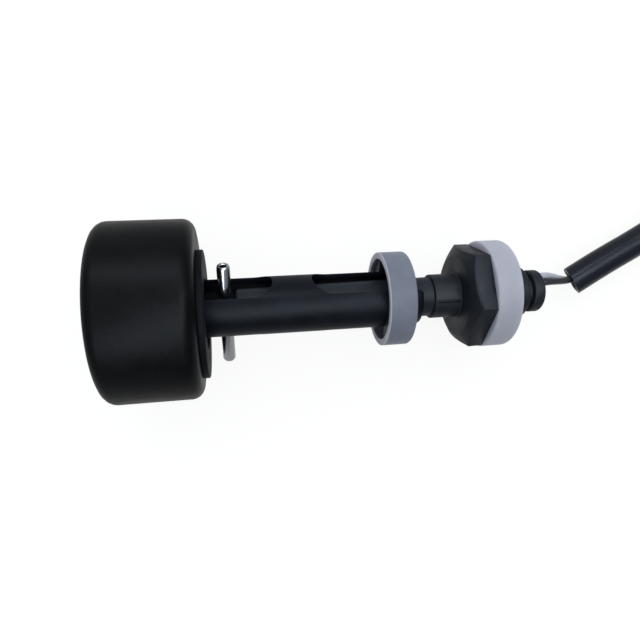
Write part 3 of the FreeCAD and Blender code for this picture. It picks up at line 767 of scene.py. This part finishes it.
class SENSOR_OT_head(bpy.types.Operator):
    """Build the probe, the head with its hexagon and spigot, and the seal"""

    bl_idname = "sensor.build_head"
    bl_label = "Probe, head and seal"

    def build_probe(self, size):
        """The drafted probe with its tenon, its bore and the mould's parting ridge."""
        far, near = span("probe_tube")[:2]
        seam = -size["seam_place"]
        tenon = size["tenon"]
        bore = size["probe_bore"]
        floor = far + size["probe_floor"]
        probe = turned("reed_probe", (
            (0.0, far, 0.0),
            (size["probe_tip"], far, size["probe_round"]),
            (size["probe_root"], seam, 0.15),
            (tenon, seam, 0.0),
            (tenon, near, 0.0),
            (bore, near, 0.0),
            (bore, floor, 0.0),
            (0.0, floor, 0.0),
        ))
        raise_ridge(probe, size["ridge_turn"], size["ridge_height"], far + size["probe_round"], seam, tenon)
        lay(probe)
        hand_over(probe, "head", "black_plastic", probe_plastic, "probe_tube")

    def build_hexagon(self, size, back, face):
        """The hexagon with its corners bevelled by a cone, open in the middle for the stem."""
        corner = size["hex_flats"] / math.sqrt(3)
        hexagon = start("head_moulding", bpy.ops.mesh.primitive_cylinder_add, vertices=6, radius=corner,
                        depth=back - face, location=(0.0, 0.0, (back + face) / 2),
                        rotation=(0.0, 0.0, math.pi / 6))
        bpy.ops.object.mode_set(mode="OBJECT")
        flat = size["hex_flats"] / 2 - size["hex_bevel"]
        rim = corner + size["hex_bevel"]
        cone = turned("bevel_cone", (
            (size["hex_eye"], face - TOUCH, 0.0),
            (flat, face - TOUCH, 0.0),
            (rim, face + (rim - flat) / math.sqrt(3), 0.0),
            (rim, back + TOUCH, 0.0),
            (size["hex_eye"], back + TOUCH, 0.0),
        ), BEVEL_STEPS)
        cut(hexagon, cone, "INTERSECT")
        soften(hexagon, size["edge"], 20.0)
        lay(hexagon, Matrix.Identity(4), size["hex_turn"])
        return hexagon

    def build_moulding(self, size):
        """The collar, the hexagon and the grooved spigot, in one piece."""
        end = span("head_body")[1]
        back = span("mounting_seal")[0]
        face = back - size["hex_thickness"]
        middle = (back + face) / 2
        seam = -size["seam_place"]
        shank = span("mounting_seal")[3] - SNUG
        collar = size["collar"]
        fillet = size["collar_fillet"]
        crease = fillet / 2
        socket = size["tenon"] + SNUG
        socket_end = seam + size["socket_depth"]
        groove_near = size["shank_length"]
        groove_far = groove_near + size["groove_width"]
        stem = turned("head_stem", (
            (socket, seam, 0.1),
            (collar, seam, size["collar_round"]),
            (collar, face - fillet, crease),
            (collar + fillet, face, 0.0),
            (collar + fillet, middle, 0.0),
            (shank, middle, 0.0),
            (shank, groove_near, 0.6),
            (size["groove"], groove_near, 0.15),
            (size["groove"], groove_far, 0.15),
            (size["bead"], groove_far, 0.5),
            (size["bead"], end, 0.7),
            (size["head_bore"], end, 0.25),
            (size["head_bore"], socket_end, 0.0),
            (socket, socket_end, 0.0),
        ))
        on_collar = (seam + size["collar_round"], face - fillet - crease, collar - fillet)
        raise_ridge(stem, size["ridge_turn"], size["ridge_height"], *on_collar)
        raise_ridge(stem, size["flute_turn"], -size["flute_depth"], *on_collar, strips=2)
        head = self.build_hexagon(size, back, face)
        alone(head)
        stem.select_set(True)
        bpy.ops.object.join()
        lay(head)
        hand_over(head, "head", "black_plastic", head_plastic, "head_body")

    def build_seal(self, size):
        """The seal, half as round by the hexagon as at the tank wall."""
        far, near, outer, hole = span("mounting_seal")
        seal = turned("silicone_seal", (
            (hole, near, 0.3),
            (outer, near, size["seal_round"]),
            (outer, far, size["seal_round"] / 2),
            (hole, far, 0.2),
        ), WIDE_STEPS)
        lay(seal)
        hand_over(seal, "head", "seal_silicone", seal_silicone, "mounting_seal")

    def execute(self, context):
        size = millimetres()
        self.build_probe(size)
        self.build_moulding(size)
        self.build_seal(size)
        return {"FINISHED"}


def drawn_line(name, kind, points):
    """A line of that kind of spline on the points."""
    data = bpy.data.curves.new(name, "CURVE")
    data.dimensions = "3D"
    spline = data.splines.new(kind)
    spline.points.add(len(points) - 1)
    for knot, place in zip(spline.points, points):
        knot.co = (*place, 1.0)
    line = bpy.data.objects.new(name, data)
    bpy.context.scene.collection.objects.link(line)
    return line


def route(name, points):
    """A smooth line with the points as its control points."""
    line = drawn_line(name, "NURBS", points)
    line.data.resolution_u = 24
    line.data.splines[0].order_u = 3
    line.data.splines[0].use_endpoint_u = True
    return line


def points_along(line):
    """Points read from a line that has no thickness."""
    mesh = bpy.data.meshes.new_from_object(line)
    points = [vertex.co.copy() for vertex in mesh.vertices]
    bpy.data.meshes.remove(mesh)
    return points


def thicken(line, radius, caps):
    """Turn a line into a smooth mesh tube of that radius, in metres."""
    line.data.bevel_depth = radius
    line.data.bevel_resolution = 8
    line.data.use_fill_caps = caps
    alone(line)
    bpy.ops.object.convert(target="MESH")
    bpy.ops.object.shade_smooth_by_angle(angle=SMOOTH_BELOW)
    return bpy.context.active_object


class SENSOR_OT_plug(bpy.types.Operator):
    """Build the two-way plug at the lead's end"""

    bl_idname = "sensor.build_plug"
    bl_label = "Plug"

    def box(self, name, wide, high, long, x, y, z):
        """A block, open in edit mode, with x and y at its middle and z at its start."""
        block = start(name, bpy.ops.mesh.primitive_cube_add, size=1.0)
        bpy.ops.transform.resize(value=(wide, high, long), center_override=(0, 0, 0))
        bpy.ops.transform.translate(value=(x, y, z + long / 2))
        return block

    def build_case(self, size):
        """The case: panelled sides, a round entry, and two cavities with sloped mouths."""
        wide, high, long = size["plug_width"], size["plug_height"], size["plug_length"]
        case = self.box("plug_case", wide, high, long, 0.0, 0.0, 0.0)
        for side in (Vector((1, 0, 0)), Vector((-1, 0, 0)), Vector((0, -1, 0))):
            pick(case, "FACE", lambda f: f.normal.dot(side) > 0.99 and f.calc_area() > high * long / 2)
            bpy.ops.mesh.inset(thickness=size["panel_rim"], depth=-size["panel_depth"])
        bpy.ops.object.mode_set(mode="OBJECT")
        entry = start("plug_entry", bpy.ops.mesh.primitive_cylinder_add, vertices=72,
                      radius=size["tube_diameter"] / 2 + SNUG, depth=2 * size["plug_entry"])
        bpy.ops.object.mode_set(mode="OBJECT")
        cut(case, entry)
        across = size["contact_side"]
        mouth = 1.0 + size["mouth_flare"] / across
        past_front = size["mouth_depth"] + 0.1
        for side in (-1, 1):
            middle = side * size["contact_pitch"] / 2
            cavity = self.box("plug_cavity", across, across, size["contact_depth"], middle, 0.0,
                              long - size["contact_depth"])
            pick(cavity, "FACE", lambda f: f.normal.z > 0.99)
            bpy.ops.transform.translate(value=(0.0, 0.0, -size["mouth_depth"]))
            bpy.ops.mesh.extrude_region_move(TRANSFORM_OT_translate={"value": (0.0, 0.0, past_front)})
            bpy.ops.transform.resize(value=(mouth, mouth, 1.0), center_override=(middle, 0.0, long))
            bpy.ops.object.mode_set(mode="OBJECT")
            cut(case, cavity)
        soften(case, 0.3)
        return case

    def build_latch(self, size):
        """A springy arm that joins the case at its front and carries a sloped hook."""
        top = size["plug_height"] / 2
        front = size["plug_length"]
        rise = size["latch_height"]
        end = front - size["latch_length"]
        outline = (
            (top - 0.3, front - 0.4),
            (top + 0.7, front - 0.4),
            (top + rise, front - 3.2),
            (top + rise, front - 4.2),
            (top + 0.95, front - 4.3),
            (top + 0.95, end + 2.4),
            (top + rise, end + 1.6),
            (top + rise, end),
            (top + 0.4, end),
            (top + 0.4, front - 2.0),
            (top - 0.3, front - 2.4),
        )
        half = size["latch_width"] / 2
        corners = [Vector((-half, y, z)) for y, z in outline]
        latch = traced("plug_latch", corners, True)
        bpy.ops.mesh.select_all(action="SELECT")
        bpy.ops.mesh.edge_face_add()
        bpy.ops.mesh.select_all(action="SELECT")
        bpy.ops.mesh.extrude_region_move(TRANSFORM_OT_translate={"value": (2 * half, 0.0, 0.0)})
        mend()
        soften(latch, 0.12)
        return latch

    def execute(self, context):
        size = millimetres()
        case = self.build_case(size)
        latch = self.build_latch(size)
        alone(case)
        latch.select_set(True)
        bpy.ops.object.join()
        before, end = (Vector(point) for point in TUBE_POINTS[-2:])
        along = (end - before).normalized()
        up = Vector((0, 0, 1))
        turn = Matrix((up.cross(along), up, along)).transposed().to_4x4()
        seat = Matrix.Translation(end - along * size["plug_entry"] * MM) @ turn @ Matrix.Scale(MM, 4)
        lay(case, seat)
        hand_over(case, "head", "plug_nylon", plug_nylon, "connector_housing")
        return {"FINISHED"}


class SENSOR_OT_lead(bpy.types.Operator):
    """Build the lead: two twisted wires that run into tubing"""

    bl_idname = "sensor.build_lead"
    bl_label = "Lead"

    def strand(self, name, points, phase):
        """One wire of the twisted pair, wound about the pair's line."""
        sizes = bpy.context.scene.sensor_sizes
        wound = []
        travelled = 0.0
        for i, point in enumerate(points):
            before = points[max(i - 1, 0)]
            after = points[min(i + 1, len(points) - 1)]
            along = (after - before).normalized()
            side = along.cross(Vector((0, 0, 1))).normalized()
            up = side.cross(along)
            turn = phase - FULL_TURN * travelled / sizes.wire_twist
            wound.append(point + (up * math.cos(turn) + side * math.sin(turn)) * sizes.wire_spacing / 2)
            travelled += (after - point).length
        return thicken(drawn_line(name, "POLY", wound), sizes.wire_diameter / 2, True)

    def tubing(self):
        """The tubing, which starts a little early so that its end can be cut on a slant."""
        sizes = bpy.context.scene.sensor_sizes
        mouth, after = (Vector(point) for point in TUBE_POINTS[:2])
        outwards = (mouth - after).normalized()
        early = mouth + outwards * sizes.tube_diameter / 2
        tube = thicken(route("tubing", (tuple(early),) + TUBE_POINTS), sizes.tube_diameter / 2, False)
        bpy.ops.object.mode_set(mode="EDIT")
        bpy.ops.mesh.select_mode(type="VERT")
        bpy.ops.mesh.select_all(action="SELECT")
        slant = outwards * math.cos(sizes.tube_slant) - Vector((0, 0, 1)) * math.sin(sizes.tube_slant)
        bpy.ops.mesh.bisect(plane_co=mouth, plane_no=slant, clear_outer=True)
        bpy.ops.mesh.select_all(action="SELECT")
        bpy.ops.mesh.normals_make_consistent(inside=False)
        bpy.ops.object.mode_set(mode="OBJECT")
        apply_modifier(tube, "SOLIDIFY", thickness=sizes.tube_wall, offset=-1.0)
        bpy.ops.object.shade_smooth_by_angle(angle=SMOOTH_BELOW)
        return tube

    def execute(self, context):
        sizes = context.scene.sensor_sizes
        pair = route("wire_pair_route", WIRE_ROUTE)
        points = points_along(pair)
        bpy.data.objects.remove(pair)
        light = self.strand("wire_light_strand", points, sizes.wire_turn)
        dark = self.strand("wire_dark_strand", points, sizes.wire_turn + math.pi)
        hand_over(light, "head", "wire_light", wire_light_pvc, "lead_wire_light")
        hand_over(dark, "head", "wire_dark", wire_dark_pvc, "lead_wire_dark")

        cad_line = route("tubing_route", TUBE_POINTS)
        middle = points_along(cad_line)
        bpy.data.objects.remove(cad_line)
        tube = self.tubing()
        hand_over(tube, "head", "tube_pvc", tube_pvc, "cable_sleeve")
        return {"FINISHED"}


class SENSOR_OT_inside(bpy.types.Operator):
    """Give the CAD pieces that stay their finishes"""

    bl_idname = "sensor.finish_inside"
    bl_label = "Inner pieces"

    def execute(self, context):
        finishes = {
            # The magnet holder's near-black finish is painted shade.
            "magnet_plug": carrier_painted_shade,
            "plug_magnet": ferrite,
            "stop_ring": sleeve_plastic,
            "reed_glass": capsule_glass,
            "reed_lead_near": lead_metal,
            "reed_lead_return": lead_metal,
            "potting_plug": potting_resin,
            "contact_left": contact_brass,
            "contact_right": contact_brass,
        }
        for name, maker in finishes.items():
            node = frame["nodes"][name]
            node.data.materials.clear()
            node.data.materials.append(finish_of(maker))
        return {"FINISHED"}


class SENSOR_OT_stage(bpy.types.Operator):
    """Set up the floor, the light and the camera"""

    bl_idname = "sensor.build_stage"
    bl_label = "Stage"

    def build_floor(self):
        """A white floor that takes the shadow."""
        floor = start("studio_floor", bpy.ops.mesh.primitive_plane_add, size=6.0,
                      location=(0.0, 0.0, TABLE - 0.02 * MM))
        bpy.ops.mesh.subdivide(number_cuts=4)
        bpy.ops.object.mode_set(mode="OBJECT")
        material, tree = new_tree("white_sweep")
        path = add(tree, "ShaderNodeLightPath")
        seen = add(tree, "ShaderNodeMath",
                   {0: path.outputs["Is Camera Ray"], 1: path.outputs["Is Glossy Ray"]},
                   operation="MAXIMUM").outputs[0]
        seen = add(tree, "ShaderNodeMath", {0: seen, 1: path.outputs["Is Transmission Ray"]},
                   operation="MAXIMUM").outputs[0]
        strength = add(tree, "ShaderNodeMath", {0: seen, 1: FLOOR_GLOW}, operation="MULTIPLY").outputs[0]
        lit = add(tree, "ShaderNodeBsdfDiffuse", {"Color": bpy.context.scene.sensor_colours.floor}).outputs[0]
        glow = add(tree, "ShaderNodeEmission", {"Strength": strength}).outputs[0]
        both = add(tree, "ShaderNodeAddShader", {0: lit, 1: glow}).outputs[0]
        add(tree, "ShaderNodeOutputMaterial", {"Surface": both})
        floor.data.materials.append(material)

    def build_light(self):
        """A sky with a brighter side and dimmer ends, and the lamps."""
        world = bpy.data.worlds.new("studio")
        bpy.context.scene.world = world
        world.use_nodes = True
        tree = world.node_tree
        tree.nodes.clear()
        way = add(tree, "ShaderNodeTexCoord").outputs["Generated"]
        facing = add(tree, "ShaderNodeVectorMath", {0: way, 1: SKY_SIDE}, operation="DOT_PRODUCT")
        sides = add(tree, "ShaderNodeMapRange",
                    {"Value": facing.outputs["Value"], "From Min": -0.5, "From Max": 1.0,
                     "To Min": SKY_LEVELS[0], "To Max": SKY_LEVELS[1]}).outputs[0]
        endwise = add(tree, "ShaderNodeSeparateXYZ", {"Vector": way}).outputs["X"]
        endwise = add(tree, "ShaderNodeMath", {0: endwise}, operation="ABSOLUTE").outputs[0]
        ends = add(tree, "ShaderNodeMapRange",
                   {"Value": endwise, "From Min": 0.2, "From Max": 1.0,
                    "To Min": 1.0, "To Max": SKY_ENDS}).outputs[0]
        strength = add(tree, "ShaderNodeMath", {0: sides, 1: ends}, operation="MULTIPLY").outputs[0]
        sky = add(tree, "ShaderNodeBackground", {"Color": SKY_TINT, "Strength": strength}).outputs[0]
        add(tree, "ShaderNodeOutputWorld", {"Surface": sky})
        for lamp in LAMPS:
            self.build_lamp(*lamp)

    def build_lamp(self, name, place, extent, turn, energy):
        """A rectangular lamp that faces down and shows in reflections only."""
        data = bpy.data.lights.new(name, "AREA")
        data.shape = "RECTANGLE"
        data.size, data.size_y = extent
        data.energy = energy
        data.color = LAMP_TINT
        lamp = bpy.data.objects.new(name, data)
        lamp.location = place
        lamp.rotation_euler = (0.0, 0.0, math.radians(turn))
        lamp.visible_camera = False
        lamp.visible_diffuse = False
        bpy.context.scene.collection.objects.link(lamp)

    def build_camera(self):
        """The photograph's camera."""
        data = bpy.data.cameras.new("photo_camera")
        data.lens = EYE_LENS
        data.sensor_width = 36.0
        data.clip_start = 0.005
        data.clip_end = 20.0
        camera = bpy.data.objects.new("photo_camera", data)
        right = Vector(EYE_RIGHT).normalized()
        back = right.cross(Vector(EYE_UP)).normalized()
        up = back.cross(right)
        turn = Matrix((right, up, back)).transposed().to_4x4()
        camera.matrix_world = Matrix.Translation(EYE) @ turn
        bpy.context.scene.collection.objects.link(camera)
        bpy.context.scene.camera = camera

    def execute(self, context):
        self.build_floor()
        self.build_light()
        self.build_camera()
        context.scene.view_settings.view_transform = "Standard"
        return {"FINISHED"}


class SENSOR_PT_panel(bpy.types.Panel):
    """Sidebar panel with the steps that build the sensor"""

    bl_idname = "SENSOR_PT_panel"
    bl_label = "Liquid Level Sensor"
    bl_space_type = "VIEW_3D"
    bl_region_type = "UI"
    bl_category = "Sensor"

    def draw(self, context):
        for step in OPERATORS:
            self.layout.operator(step.bl_idname)


OPERATORS = (
    SENSOR_OT_stage,
    SENSOR_OT_plug,
    SENSOR_OT_lead,
    SENSOR_OT_float,
    SENSOR_OT_pin,
    SENSOR_OT_sleeve,
    SENSOR_OT_ring,
    SENSOR_OT_head,
    SENSOR_OT_inside,
)
CLASSES = (SensorSizes, SensorColours) + OPERATORS + (SENSOR_PT_panel,)


def register():
    for item in CLASSES:
        bpy.utils.register_class(item)
    bpy.types.Scene.sensor_sizes = PointerProperty(type=SensorSizes)
    bpy.types.Scene.sensor_colours = PointerProperty(type=SensorColours)


def unregister():
    del bpy.types.Scene.sensor_colours
    del bpy.types.Scene.sensor_sizes
    for item in reversed(CLASSES):
        bpy.utils.unregister_class(item)


def main():
    register()
    bpy.ops.sensor.build_stage()
    bpy.ops.sensor.build_plug()
    bpy.ops.sensor.build_lead()
    bpy.ops.sensor.build_float()
    bpy.ops.sensor.build_pin()
    bpy.ops.sensor.build_sleeve()
    bpy.ops.sensor.build_ring()
    bpy.ops.sensor.build_head()
    bpy.ops.sensor.finish_inside()


if __name__ == "__main__":
    main()
